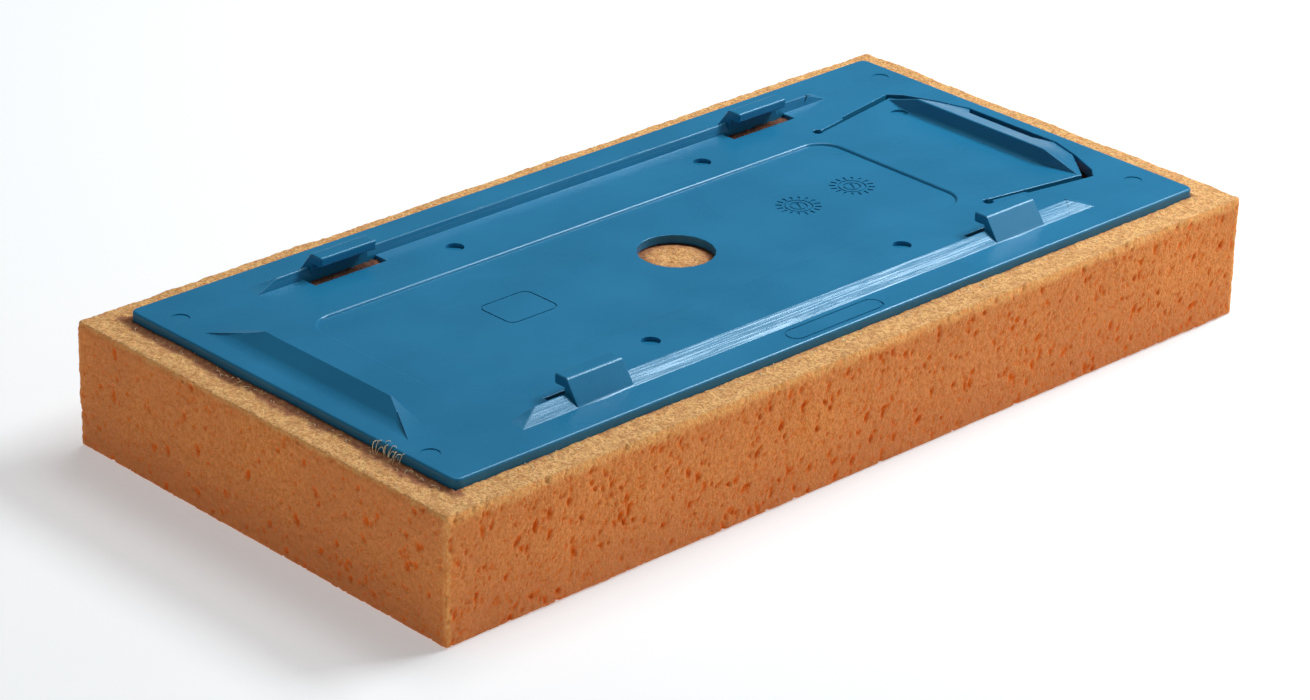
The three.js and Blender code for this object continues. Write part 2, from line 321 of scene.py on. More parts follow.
def foam_material():
    """Orange open-cell foam: mottled, with a paler cut skin and glue soaked in, and painted shade in the pores,
    toward the base, in the hole and under the hooks' lips, with a painted highlight along the sides' top edges.
    """
    nodes = Nodes("foam")
    upright = nodes.stretched((1.0, 1.0, 0.7))
    mottle = nodes.span(nodes.noise(0.9, 4.0, 0.7, upright), 0.36, 0.62)
    body = nodes.mix(mottle, FOAM_DARK, FOAM_LIGHT)
    cloud = nodes.span(nodes.noise(38.0, 2.0, 0.5, upright), 0.3, 0.7, 0.0, 0.45)
    body = nodes.mix(cloud, body, FOAM_CLOUD)
    # Painted shade: the sides darken towards the base.
    low = nodes.span(nodes.coordinate("Z"), BASE_SHADE_TOP * MM, 0.0, 0.0, 0.55)
    body = nodes.mix(low, body, FOAM_BASE_SHADE)
    # Painted shade: the deeper a pore, the more of the darker, redder pore colour, standing in for shade in the
    # pit and light seen through the foam.
    body = nodes.mix(nodes.attribute("pore_shade"), body, FOAM_PORE_SHADE)
    fleck = nodes.span(nodes.noise(1.0, 4.0, 0.8), 0.38, 0.58)
    skin = nodes.mix(fleck, FOAM_SKIN_DARK, FOAM_SKIN)
    stain = nodes.span(nodes.noise(4.5, 3.0, 0.6), 0.42, 0.68, 0.0, 0.5)
    skin = nodes.mix(stain, skin, FOAM_SKIN_DARK)
    share = nodes.attribute("skin")
    # Cut skin and painted highlight: the band along the sides' edges is paler than both the body and the skin.
    colour = nodes.mix(nodes.span(share, 0.0, 0.55), body, nodes.mix(mottle, FOAM_LIGHT, FOAM_RIM_AND_HIGHLIGHT))
    colour = nodes.mix(nodes.span(share, 0.5, 1.0), colour, skin)
    glint = nodes.span(nodes.cells(0.75), 0.17, 0.05, 0.0, 0.5)
    colour = nodes.mix(glint, colour, FOAM_GLINT)
    # Glue stain and painted shade: glue past the plate's edge, painted shadow of the plate on the left border, and
    # painted shade in the hole and under the lips.
    glue_and_shade_share = nodes.attribute("glue_and_shade")
    colour = nodes.mix(nodes.span(glue_and_shade_share, 0.0, 0.6), colour, FOAM_GLUE_AND_SHADE)
    colour = nodes.mix(nodes.span(glue_and_shade_share, 0.6, 1.0), colour, FOAM_GLUE_AND_DEEP_SHADE)
    nodes.shade("Base Color", colour)
    rough = nodes.span(nodes.noise(2.5), 0.3, 0.7, 0.75, 1.0)
    nodes.shade("Roughness", rough)
    nodes.shade("Specular IOR Level", 0.2)
    nodes.shade("Subsurface Weight", 0.2)
    nodes.shade("Subsurface Radius", FOAM_GLOW_RADII)
    nodes.shade("Subsurface Scale", FOAM_GLOW_DEPTH * MM)
    grain = nodes.bump(nodes.noise(0.7, 3.0, 0.7), 0.45, 0.8)
    cells = nodes.bump(nodes.cells(0.9), 0.28, 0.6, grain)
    nodes.shade("Normal", cells)
    return nodes.material


def fibre_material():
    """Thin strands of the same foam, pale because light passes through them."""
    nodes = Nodes("fibre")
    blotch = nodes.span(nodes.noise(2.0, 3.0), 0.35, 0.65)
    nodes.shade("Base Color", nodes.mix(blotch, FIBRE_TAN, FIBRE_PALE))
    nodes.shade("Roughness", nodes.span(nodes.noise(1.0), 0.3, 0.7, 0.6, 0.9))
    nodes.shade("Normal", nodes.bump(nodes.noise(0.3), 0.05, 0.5))
    return nodes.material


def rail_mask(nodes):
    """1 on the rails between and beyond the hooks, 0 on the rest of the moulding."""
    across = nodes.maths("ABSOLUTE", nodes.coordinate("Y"))
    on_rail = nodes.span(across, SCORED_ACROSS[0] * MM, SCORED_ACROSS[1] * MM)
    lowest, highest = ((FLOOR_Z + rise) * MM for rise in SCORED_RISE)
    raised = nodes.span(nodes.coordinate("Z"), lowest, highest)
    mask = nodes.maths("MULTIPLY", on_rail, raised)
    for x in HOOK_X:
        away = nodes.maths("ABSOLUTE", nodes.maths("SUBTRACT", nodes.coordinate("X"), x * MM))
        clear = nodes.span(away, HOOK_HALF_LENGTH * MM, (HOOK_HALF_LENGTH + SCORED_FADE) * MM)
        mask = nodes.maths("MULTIPLY", mask, clear)
    return mask


def plastic_material():
    """Semi-gloss blue moulded plastic, a little cloudy, with fine scuffs and scored rails."""
    nodes = Nodes("plastic")
    cloud = nodes.span(nodes.noise(38.0, 3.0), 0.3, 0.7)
    colour = nodes.mix(cloud, PLASTIC_DEEP, PLASTIC_BLUE)
    scuffs = nodes.noise(2.2, 4.0, 0.7, nodes.stretched((0.06, 1.0, 1.0)))
    scuff = nodes.span(scuffs, 0.50, 0.90, 0.0, 0.10)
    colour = nodes.mix(scuff, colour, PLASTIC_SCUFF)
    nodes.shade("Base Color", colour)
    streaks = nodes.noise(0.5, 3.0, 0.7, nodes.stretched((0.012, 1.0, 1.0)))
    scored = nodes.maths("MULTIPLY", nodes.span(streaks, 0.42, 0.66), rail_mask(nodes))
    worn = nodes.span(nodes.noise(20.0, 1.0, 0.5), 0.3, 0.7, 0.27, 0.33)
    rough = nodes.maths("ADD", worn, nodes.maths("MULTIPLY", scored, 0.2))
    nodes.shade("Roughness", rough)
    nodes.shade("Specular IOR Level", 0.45)
    nodes.shade("Specular Tint", PLASTIC_GLOSS)
    peel = nodes.bump(nodes.noise(7.0, 1.0), 0.03, 0.15)
    grain = nodes.bump(nodes.noise(0.5, 2.0), 0.03, 0.25, peel)
    drawn = nodes.bump(scored, 0.05, 0.6, grain)
    nodes.shade("Normal", drawn)
    return nodes.material


def glue_material():
    """Cured adhesive: amber where thin, dark red-brown where thick."""
    nodes = Nodes("glue")
    blotch = nodes.span(nodes.noise(4.0, 4.0, 0.65), 0.38, 0.62)
    nodes.shade("Base Color", nodes.mix(blotch, GLUE_DARK, GLUE_AMBER))
    rough = nodes.span(nodes.noise(2.0), 0.3, 0.7, 0.22, 0.5)
    nodes.shade("Roughness", rough)
    nodes.shade("Normal", nodes.bump(nodes.noise(1.2, 3.0), 0.3, 0.8))
    return nodes.material


# ---- Mesh helpers ----

LATTICE = 96


def value_noise(points, cell, seed):
    """Smooth noise in -1...1 at each point, from random values on a lattice of that cell size."""
    table = np.random.default_rng(seed).uniform(-1.0, 1.0, (LATTICE,) * 3)
    place = points / cell
    base = np.floor(place).astype(int)
    part = place - base
    part = part * part * (3 - 2 * part)
    total = np.zeros(len(points))
    for corner in np.ndindex(2, 2, 2):
        weight = np.ones(len(points))
        for axis, step in enumerate(corner):
            weight *= part[:, axis] if step else 1 - part[:, axis]
        i, j, k = ((base + corner) % LATTICE).T
        total += weight * table[i, j, k]
    return total


def smoothstep(value, low, high):
    t = np.clip((value - low) / (high - low), 0, 1)
    return t * t * (3 - 2 * t)


def evenly(low, high, pitch):
    """Values from low to high, about pitch apart."""
    return np.linspace(low, high, max(1, round((high - low) / pitch)) + 1)


def link(name, mesh):
    piece = bpy.data.objects.new(name, mesh)
    bpy.context.scene.collection.objects.link(piece)
    return piece


@contextmanager
def editing(mesh):
    """The mesh as a bmesh, written back at the end."""
    shape = bmesh.new()
    shape.from_mesh(mesh)
    yield shape
    shape.to_mesh(mesh)
    shape.free()


def apply_modifiers(piece):
    """Replaces the piece's mesh with what its modifiers make of it."""
    bpy.context.view_layer.update()
    graph = bpy.context.evaluated_depsgraph_get()
    mesh = bpy.data.meshes.new_from_object(piece.evaluated_get(graph))
    piece.modifiers.clear()
    piece.data = mesh


def combine(piece, other, operation):
    """Boolean of two closed pieces. The other one is used up."""
    modifier = piece.modifiers.new(operation.lower(), "BOOLEAN")
    modifier.operation = operation
    modifier.solver = "MANIFOLD"
    modifier.object = other
    apply_modifiers(piece)
    bpy.data.objects.remove(other)


def solid(name, points, faces):
    """A closed mesh from points in millimetres, with its faces turned outwards."""
    mesh = bpy.data.meshes.new(name)
    mesh.from_pydata([Vector(p) * MM for p in points], [], faces)
    with editing(mesh) as shape:
        bmesh.ops.recalc_face_normals(shape, faces=shape.faces)
    return mesh


def ring_faces(here, after, count):
    """Quads between the ring of count points that starts at here and the one at after."""
    pairs = [(i, (i + 1) % count) for i in range(count)]
    return [(here + i, here + j, after + j, after + i) for i, j in pairs]


def prism_parts(outline, bottom, top):
    """Points and faces of a prism. bottom and top are heights, or functions of a point."""
    points = []
    for height in (bottom, top):
        for x, y in outline:
            points.append((x, y, height(x, y) if callable(height) else height))
    count = len(outline)
    faces = ring_faces(0, count, count)
    faces.append(tuple(reversed(range(count))))
    faces.append(tuple(range(count, 2 * count)))
    return points, faces


def band_parts(outer, inner, bottom, top):
    """Points and faces of a closed band between two outlines with as many points each."""
    count = len(outer)
    points = []
    for outline, height in ((outer, bottom), (outer, top), (inner, top), (inner, bottom)):
        points += [(x, y, height) for x, y in outline]
    faces = []
    for ring in range(4):
        faces += ring_faces(ring * count, (ring + 1) % 4 * count, count)
    return points, faces


def gather(name, parts):
    """One object from many closed (points, faces) parts."""
    points, faces = [], []
    for part_points, part_faces in parts:
        offset = len(points)
        points += part_points
        faces += [tuple(offset + i for i in face) for face in part_faces]
    return link(name, solid(name, points, faces))


def circle(x, y, radius, count=32):
    turns = [2 * math.pi * i / count for i in range(count)]
    return [(x + radius * math.cos(t), y + radius * math.sin(t)) for t in turns]


def rounded_rectangle(x_low, x_high, y_low, y_high, radius, steps=6):
    """Outline with quarter-circle corners, anticlockwise."""
    centres = [
        (x_high - radius, y_low + radius, -90),
        (x_high - radius, y_high - radius, 0),
        (x_low + radius, y_high - radius, 90),
        (x_low + radius, y_low + radius, 180),
    ]
    points = []
    for x, y, start in centres:
        for i in range(steps + 1):
            t = math.radians(start + 90 * i / steps)
            points.append((x + radius * math.cos(t), y + radius * math.sin(t)))
    return points


# ---- Sponge ----

# Pitch of the surface's grids: where it shows, in the pocket, and every few lines on the base.
FINE_PITCH = 0.55
POCKET_PITCH = 1.1
BASE_STRIDE = 3
TINY = 0.01

TOP_EDGE_RADIUS = 1.3
BASE_EDGE_RADIUS = 1.0
TOP_FACING = 0.6
HIDDEN_MARGIN = 3.0

# Heights of large waves and small crumbs of the cut surface, what is left of the crumbs on the
# base, and how far the whole surface is drawn in so that the waves stay in the CAD's box.
WAVES = (0.32, 0.16)
CRUMBS = (0.13, 0.16)
BASE_CRUMBS = 0.4
DRAWN_IN = 0.2

# The top's free border, raised beside the plate, with a tuck against the plate's edge.
BORDER_RISE = 0.9
TUCK_RISE = 0.6
TUCK_WIDTH = 3.0

# Foam that shows through the plate: crowned in the hole, bulging into the slots under the hooks'
# lips, and sunk under the tongue to give it room.
HOLE_MARGIN = 2.0
HOLE_CROWN = 0.9
HOLE_SLOPE = 3.5
HOLE_OVERLAP = 0.3
LIP_WELL_HALF = (16.0, 4.4)
LIP_WELL_Y = 54.6
LIP_WELL_RISE = 2.9
BULGE_HALF_LENGTH = 14.9
BULGE_INWARD = 3.3
BULGE_OUTWARD = 3.9
BULGE_EDGE = (-0.6, 0.1)
POCKET_CLEARANCE = 1.0
POCKET_LEAD = 2.0

# Pores of one face: how many per square centimetre, and the range of their shorter half-width.
# The other half-width and the depth are multiples of it.
BIG_PORES = (4.6, 0.5, 1.15)
SMALL_PORES = (30.0, 0.25, 0.55)
PORE_STRETCH = (1.1, 2.6)
PORE_DEPTH = (0.5, 1.1)
PORE_CUP = (0.15, 1.1)
PORE_LEAN = math.radians(17)
PORE_LEAN_SPREAD = 0.35
PORE_SHARES = {"near": 1.0, "far": 1.0, "left": 0.6, "right": 1.0, "base": 0.8}
PORE_RAGGED = 0.5
# Depth at which a pore gets all of its painted shade.
PORE_SHADE_DEPTH = 0.5

# Width of the paler band on the sides, cut skin with a painted highlight: under the top edge, on the left side,
# and upright.
TOP_BAND = 4.2
LEFT_BAND = 1.2
UPRIGHT_BAND = 3.0
BAND_SHARE = 0.6
LEFT_SHARE = 0.35
UPRIGHT_SHARE = 0.8
BASE_SKIN = 0.1

# Glue stain and painted shade on the foam: how far the glue stain reaches past the plate's edge, how much wider on
# the left, where it is painted shadow of the plate too, and how much of it there; then painted shade where the
# foam shows in the hole and in the slots under the lips.
SOAK_REACH = 1.0
SOAK_AND_SHADOW_REACH_LEFT = 4.0
SOAK_SHARE = 0.50
SOAK_SPECKLE = 0.28
HOLE_SHADE = 0.12
HOLE_WALL_SHADE = 0.4
LIP_SHADE = 0.92
LIP_SHADE_PATCHES = 0.16


def tongue_pocket():
    """The outline of the room that the tongue is pressed into, on its +Y side and mirrored."""
    side = TONGUE_HIGH[1]
    upper = [
        (HINGE_X - 3.5, 41.5),
        (HINGE_X + 40, side + 4.2),
        (TONGUE_HIGH[0] - 6.5, side + 1.2),
        (TONGUE_HIGH[0] + 1.6, 20.5),
    ]
    return upper + [(x, -y) for x, y in reversed(upper)]


def inside(outline, x, y):
    """True where a point is inside an outline, for arrays of points."""
    found = np.zeros(x.shape, bool)
    count = len(outline)
    for i in range(count):
        (x1, y1), (x2, y2) = outline[i], outline[(i + 1) % count]
        crosses = (y1 > y) != (y2 > y)
        with np.errstate(divide="ignore", invalid="ignore"):
            at = x1 + (y - y1) * (x2 - x1) / (y2 - y1 if y2 != y1 else np.nan)
        found ^= crosses & (x < at)
    return found


class Surface:
    """Grids of points that are welded into one closed surface."""

    def __init__(self):
        self.points, self.faces, self.grids = [], [], []
        self.count = 0

    def add_grid(self, name, us, vs, place, flip=False):
        u, v = np.meshgrid(us, vs, indexing="ij")
        points = np.stack(place(u.ravel(), v.ravel()), axis=1)
        index = self.count + np.arange(points.shape[0]).reshape(u.shape)
        quads = np.stack([index[:-1, :-1], index[1:, :-1], index[1:, 1:], index[:-1, 1:]], axis=-1)
        quads = quads.reshape(-1, 4)
        self.faces += (quads[:, ::-1] if flip else quads).tolist()
        self.points.append(points)
        self.grids.append((name, us, vs, index))
        self.count += points.shape[0]

    def add_polygon(self, points):
        self.faces.append([self.count + i for i in range(len(points))])
        self.points.append(np.array(points, float))
        self.count += len(points)

    def weld(self):
        """Merges points that lie together, and returns the points and the faces."""
        points = np.concatenate(self.points)
        keys = np.round(points * 1000).astype(np.int64)
        _, first, target = np.unique(keys, axis=0, return_index=True, return_inverse=True)
        target = target.ravel()
        self.grids = [(name, us, vs, target[index]) for name, us, vs, index in self.grids]
        faces = [[int(target[i]) for i in face] for face in self.faces]
        return points[first], faces


def flat(height):
    return lambda u, v: (u, v, np.full_like(u, height))


def lined(cuts, pitch):
    """Values through all the cuts, about pitch apart."""
    runs = [evenly(low, high, pitch)[:-1] for low, high in zip(cuts[:-1], cuts[1:])]
    return np.concatenate(runs + [cuts[-1:]])


def between(values, low, high):
    return values[(values > low + TINY) & (values < high - TINY)]


def sponge_wells():
    """Patches of the sponge's top that show through the plate: name, centre, half size, pitch."""
    hole = HOLE_RADIUS + HOLE_MARGIN
    pocket_low, pocket_high = HINGE_X - 5, TONGUE_HIGH[0] + 2.4
    pocket_x = (pocket_low + pocket_high) / 2
    pocket_half = ((pocket_high - pocket_low) / 2, TONGUE_HIGH[1] + 5.5)
    wells = [
        ("hole", (HOLE_X, 0), (hole, hole), FINE_PITCH),
        ("pocket", (pocket_x, 0), pocket_half, POCKET_PITCH),
    ]
    for x in HOOK_X:
        for side in (1, -1):
            wells.append(("lip", (x, side * LIP_WELL_Y), LIP_WELL_HALF, FINE_PITCH))
    return wells


def cell(x0, x1, y0, y1, south=(), east=(), north=(), west=()):
    """A flat polygon, anticlockwise, with extra points along its sides."""
    points = [(x0, y0)] + [(x, y0) for x in south]
    points += [(x1, y0)] + [(x1, y) for y in east]
    points += [(x1, y1)] + [(x, y1) for x in reversed(north)]
    points += [(x0, y1)] + [(x0, y) for y in reversed(west)]
    return points


def add_hidden_top(surface, cuts_x, cuts_y, wells):
    """The flat of the top under the plate: one polygon for each gap between the wells."""

    def pitch_at(x, y):
        """Pitch of what lies here, or None for another part of the hidden flat."""
        if abs(x) > cuts_x[-1] or abs(y) > cuts_y[-1]:
            return FINE_PITCH
        for _, centre, half, pitch in wells:
            if abs(x - centre[0]) < half[0] and abs(y - centre[1]) < half[1]:
                return pitch
        return None

    def side(low, high, pitch):
        return evenly(low, high, pitch)[1:-1] if pitch else ()

    for x0, x1 in zip(cuts_x[:-1], cuts_x[1:]):
        for y0, y1 in zip(cuts_y[:-1], cuts_y[1:]):
            x, y = (x0 + x1) / 2, (y0 + y1) / 2
            if pitch_at(x, y):
                continue
            outline = cell(
                x0, x1, y0, y1,
                south=side(x0, x1, pitch_at(x, y0 - TINY)),
                east=side(y0, y1, pitch_at(x1 + TINY, y)),
                north=side(x0, x1, pitch_at(x, y1 + TINY)),
                west=side(y0, y1, pitch_at(x0 - TINY, y)),
            )
            surface.add_polygon([(px, py, SPONGE_HIGH[2]) for px, py in outline])


def add_base(surface, all_x, all_y):
    """The working face: a grid of every few lines, joined to the fine rim by its outer cells."""
    xs = np.append(all_x[:-1:BASE_STRIDE], all_x[-1])
    ys = np.append(all_y[:-1:BASE_STRIDE], all_y[-1])
    surface.add_grid("base", xs[1:-1], ys[1:-1], flat(SPONGE_LOW[2]), flip=True)
    last_x, last_y = len(xs) - 2, len(ys) - 2
    for i in range(last_x + 1):
        for j in range(last_y + 1):
            if 0 < i < last_x and 0 < j < last_y:
                continue
            x0, x1, y0, y1 = xs[i], xs[i + 1], ys[j], ys[j + 1]
            outline = cell(
                x0, x1, y0, y1,
                south=between(all_x, x0, x1) if j == 0 else (),
                east=between(all_y, y0, y1) if i == last_x else (),
                north=between(all_x, x0, x1) if j == last_y else (),
                west=between(all_y, y0, y1) if i == 0 else (),
            )
            surface.add_polygon([(px, py, SPONGE_LOW[2]) for px, py in reversed(outline)])


def grid_lines(wells, axis):
    """Lines across X or Y: at the wells' edges, in the middle part, in the end part, and all."""
    inner = PLATE_HIGH[axis] - HIDDEN_MARGIN
    edges = [centre[axis] + side * half[axis] for _, centre, half, _ in wells for side in (1, -1)]
    cuts = np.unique(np.round(edges + [-inner, inner], 4))
    wide = lined(cuts, FINE_PITCH)
    end = evenly(inner, SPONGE_HIGH[axis], FINE_PITCH)
    return cuts, wide, end, np.concatenate([-end[::-1], wide[1:-1], end])


def sponge_surface():
    """The block's six sides. Its top is fine round the plate and in the wells, and plain between."""
    (x0, y0, z0), (x1, y1, z1) = SPONGE_LOW, SPONGE_HIGH
    wells = sponge_wells()
    cuts_x, wide_x, end_x, all_x = grid_lines(wells, 0)
    cuts_y, wide_y, end_y, all_y = grid_lines(wells, 1)
    zs = evenly(z0, z1, FINE_PITCH)
    surface = Surface()
    surface.add_grid("near", all_x, zs, lambda u, v: (u, np.full_like(u, y0), v))
    surface.add_grid("far", all_x, zs, lambda u, v: (u, np.full_like(u, y1), v), flip=True)
    surface.add_grid("left", all_y, zs, lambda u, v: (np.full_like(u, x0), u, v), flip=True)
    surface.add_grid("right", all_y, zs, lambda u, v: (np.full_like(u, x1), u, v))
    surface.add_grid("top", all_x, -end_y[::-1], flat(z1))
    surface.add_grid("top", all_x, end_y, flat(z1))
    surface.add_grid("top", -end_x[::-1], wide_y, flat(z1))
    surface.add_grid("top", end_x, wide_y, flat(z1))
    for name, centre, half, pitch in wells:
        well_x = [x for x in cuts_x if abs(x - centre[0]) < half[0] + TINY]
        well_y = [y for y in cuts_y if abs(y - centre[1]) < half[1] + TINY]
        us, vs = lined(np.array(well_x), pitch), lined(np.array(well_y), pitch)
        surface.add_grid(name, us, vs, flat(z1))
    add_hidden_top(surface, cuts_x, cuts_y, wells)
    add_base(surface, all_x, all_y)
    return surface


def rounded(points):
    """The block's surface with its edges rounded, and the direction out of it at each point."""
    low, high = np.array(SPONGE_LOW), np.array(SPONGE_HIGH)
    share = (points[:, 2] - low[2]) / (high[2] - low[2])
    radius = BASE_EDGE_RADIUS + (TOP_EDGE_RADIUS - BASE_EDGE_RADIUS) * share
    core = np.clip(points, low + radius[:, None], high - radius[:, None])
    out = points - core
    out /= np.linalg.norm(out, axis=1)[:, None]
    return core + out * radius[:, None], out


def pore_field(us, vs, rng, density, smallest, largest):
    """Depth of one face's pores on its grid, in millimetres: leaning oval cups."""
    depth = np.zeros((len(us), len(vs)))
    square_cm = (us[-1] - us[0]) * (vs[-1] - vs[0]) / 100
    for _ in range(int(square_cm * density)):
        u, v = rng.uniform(us[0], us[-1]), rng.uniform(vs[0], vs[-1])
        narrow = smallest + (largest - smallest) * rng.random() ** 2
        tall = narrow * rng.uniform(*PORE_STRETCH)
        lean = rng.normal(PORE_LEAN, PORE_LEAN_SPREAD)
        deep = narrow * rng.uniform(*PORE_DEPTH)
        i0, i1 = np.searchsorted(us, (u - tall, u + tall))
        j0, j1 = np.searchsorted(vs, (v - tall, v + tall))
        if i1 <= i0 or j1 <= j0:
            continue
        du = us[i0:i1, None] - u
        dv = vs[None, j0:j1] - v
        across = (du * math.cos(lean) - dv * math.sin(lean)) / narrow
        along = (du * math.sin(lean) + dv * math.cos(lean)) / tall
        cup = deep * (1 - smoothstep(np.hypot(across, along), *PORE_CUP))
        depth[i0:i1, j0:j1] = np.maximum(depth[i0:i1, j0:j1], cup)
    return depth


def sponge_pores(surface, count):
    """Depth of the pores at every point of the surface."""
    rng = np.random.default_rng(7)
    depth = np.zeros(count)
    for name, us, vs, index in surface.grids:
        if name not in PORE_SHARES:
            continue
        for density, smallest, largest in (BIG_PORES, SMALL_PORES):
            field = pore_field(us, vs, rng, density * PORE_SHARES[name], smallest, largest)
            np.maximum.at(depth, index.ravel(), field.ravel())
    return depth


def plate_distance(points):
    """How far a point is outside the plate's outline, in millimetres; negative inside it."""
    dx = np.abs(points[:, 0]) - PLATE_HIGH[0]
    dy = np.abs(points[:, 1]) - PLATE_HIGH[1]
    return np.maximum(dx, dy)


def skin_share(box_points, out, is_base):
    """How much of the paler cut skin shows: all on the top, and a band along the sides' edges that is partly
    painted highlight.
    """
    to_top = SPONGE_HIGH[2] - box_points[:, 2]
    to_upright = np.maximum(
        SPONGE_HIGH[0] - np.abs(box_points[:, 0]), SPONGE_HIGH[1] - np.abs(box_points[:, 1])
    )
    ragged = 0.9 * value_noise(box_points, 5, 8) + 0.6 * value_noise(box_points, 1.6, 9)
    on_left = box_points[:, 0] < SPONGE_LOW[0] + TINY
    band = np.where(on_left, LEFT_BAND, TOP_BAND)
    under_top = 1 - smoothstep((to_top + 0.6 * ragged) / band, 0.0, 1.0)
    beside = smoothstep((to_upright + 0.5 * ragged) / UPRIGHT_BAND, 0.1, 1.0)
    upright = UPRIGHT_SHARE * (1 - beside)
    band = np.where(on_left, LEFT_SHARE, BAND_SHARE) * np.maximum(under_top, upright)
    skin = band + (1 - band) * smoothstep(out[:, 2], 0.55, 0.97)
    skin[is_base] = BASE_SKIN
    return skin


def make_sponge():
    """The foam block, from a plain box surface that is rounded, roughened, pitted and shaped."""
    surface = sponge_surface()
    box_points, faces = surface.weld()
    points, out = rounded(box_points)
    pores = sponge_pores(surface, len(points))
    pores *= 1 + PORE_RAGGED * value_noise(points, 1.1, 21)
    on_top = out[:, 2] > TOP_FACING
    is_base = out[:, 2] < -TOP_FACING
    side_part = 1 - np.clip(out[:, 2], 0, 1)
    waves = WAVES[0] * value_noise(points, 22, 1) + WAVES[1] * value_noise(points, 8, 2)
    crumbs = CRUMBS[0] * value_noise(points, 2.1, 3) + CRUMBS[1] * value_noise(points, 1.05, 4)
    push = waves * np.where(is_base, 0.0, 1.0) + crumbs * np.where(is_base, BASE_CRUMBS, 1.0)
    push = push - DRAWN_IN - pores
    points = points + out * (push * seen_share(points, on_top))[:, None]
    shape_top(points, box_points, surface)
    mesh = bpy.data.meshes.new("sponge")
    mesh.from_pydata((points * MM).tolist(), [], faces)
    mesh.validate()
    set_attribute(mesh, "skin", skin_share(box_points, out, is_base))
    # Painted shade in the pores, weaker on the top.
    pore_shade_share = np.clip(pores / PORE_SHADE_DEPTH, 0, 1)
    set_attribute(mesh, "pore_shade", pore_shade_share * (0.35 + 0.65 * side_part))
    set_attribute(mesh, "glue_and_shade", glue_and_shade(box_points, on_top))
    mesh.shade_smooth()
    mesh.materials.append(foam_material())
    piece = link("sponge", mesh)
    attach(piece, "root")
    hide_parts("sponge_block")


def seen_share(points, on_top):
    """0 where the plate hides the top, so that it stays flat, and 1 elsewhere."""
    return np.where(on_top, smoothstep(plate_distance(points), -1.5, 0.5), 1.0)


def border_lift(outside):
    """Rise of the free border, by how far a point is outside the plate."""
    border = BORDER_RISE * smoothstep(outside, -0.5, 0.3)
    near_plate = 1 - smoothstep(outside, 0.3, TUCK_WIDTH)
    return border + TUCK_RISE * smoothstep(outside, -0.5, 0.2) * near_plate


def hole_rise(x, y, fine):
    """Rise of the foam in the centre hole: a low crown."""
    away = np.hypot(x - HOLE_X, y)
    in_hole = 1 - smoothstep(away, HOLE_RADIUS - HOLE_SLOPE, HOLE_RADIUS + HOLE_OVERLAP)
    return (HOLE_CROWN + 2.0 * fine) * in_hole


def lip_rise(x, y, middle_x, middle_y, fine):
    """Rise of the foam that bulges into the slot under a hook's lip."""
    outward = (y - middle_y) * math.copysign(1, middle_y)
    past_side = np.maximum(-outward - BULGE_INWARD, outward - BULGE_OUTWARD)
    reach = np.maximum(np.abs(x - middle_x) - BULGE_HALF_LENGTH, past_side)
    return (LIP_WELL_RISE + 1.6 * fine) * (1 - smoothstep(reach, *BULGE_EDGE))


def pocket_rise(x, y, fine):
    """Fall of the foam under the tongue: a ramp that the pressed tongue stays above."""
    ramp = math.tan(PRESS_ANGLE) * np.maximum(x - HINGE_X + POCKET_LEAD, 0)
    sink = ramp + POCKET_CLEARANCE
    return np.where(inside(tongue_pocket(), x, y), -sink + fine, 0)


def shape_top(points, box_points, surface):
    """Lifts the free border beside the plate, crowns the hole and shapes the wells, in place."""
    top = SPONGE_HIGH[2]
    lift = border_lift(plate_distance(box_points))
    points[:, 2] += np.where(box_points[:, 2] > top - TINY, lift, 0)
    for name, us, vs, index in surface.grids:
        if name not in ("hole", "lip", "pocket"):
            continue
        used = index.ravel()
        place = box_points[used]
        x, y = place[:, 0], place[:, 1]
        fine = 0.2 * value_noise(place, 1.3, 5) + 0.12 * value_noise(place, 0.8, 6)
        if name == "hole":
            rise = hole_rise(x, y, fine)
        elif name == "lip":
            rise = lip_rise(x, y, us.mean(), vs.mean(), fine)
        else:
            rise = pocket_rise(x, y, fine)
        points[used, 2] = top + rise


def glue_and_shade(points, on_top):
    """Glue stain and painted shade on the foam's top: glue under the plate and in patches past its edge, with
    painted shadow of the plate on the left, and painted shade in the hole and under the lips.
    """
    outside = plate_distance(points)
    patch = value_noise(points, 6, 11) + 0.6 * value_noise(points, 2.2, 12)
    speckle = value_noise(points, 0.9, 13)
    # Painted shadow of the plate: the stained band is wider on the left.
    at_left = smoothstep(-points[:, 0], PLATE_HIGH[0] - 3, PLATE_HIGH[0] + 1)
    reach = SOAK_REACH + SOAK_AND_SHADOW_REACH_LEFT * at_left + (0.9 + 0.9 * at_left) * patch
    past_reach = smoothstep(outside, reach - 2.6, reach + 1.4)
    share = (SOAK_SHARE + SOAK_SPECKLE * speckle) * (1 - past_reach)
    # Painted shade in the hole, darkest by its wall.
    away = np.hypot(points[:, 0] - HOLE_X, points[:, 1])
    in_hole = HOLE_SHADE + HOLE_WALL_SHADE * smoothstep(away, 5, HOLE_RADIUS)
    share = np.where(away < HOLE_RADIUS + 1, in_hole, share)
    # Painted shade on the foam in the slots under the hooks' lips.
    in_lip = (np.abs(np.abs(points[:, 1]) - LIP_WELL_Y) < LIP_WELL_HALF[1]) & on_top
    share = np.where(in_lip & (outside < -5), LIP_SHADE + LIP_SHADE_PATCHES * patch, share)
    return np.where(on_top, np.clip(share, 0, 1), 0.0)


def set_attribute(mesh, name, values):
    attribute = mesh.attributes.new(name, "FLOAT", "POINT")
    attribute.data.foreach_set("value", values.astype(np.float32))


# ---- Plate moulding ----

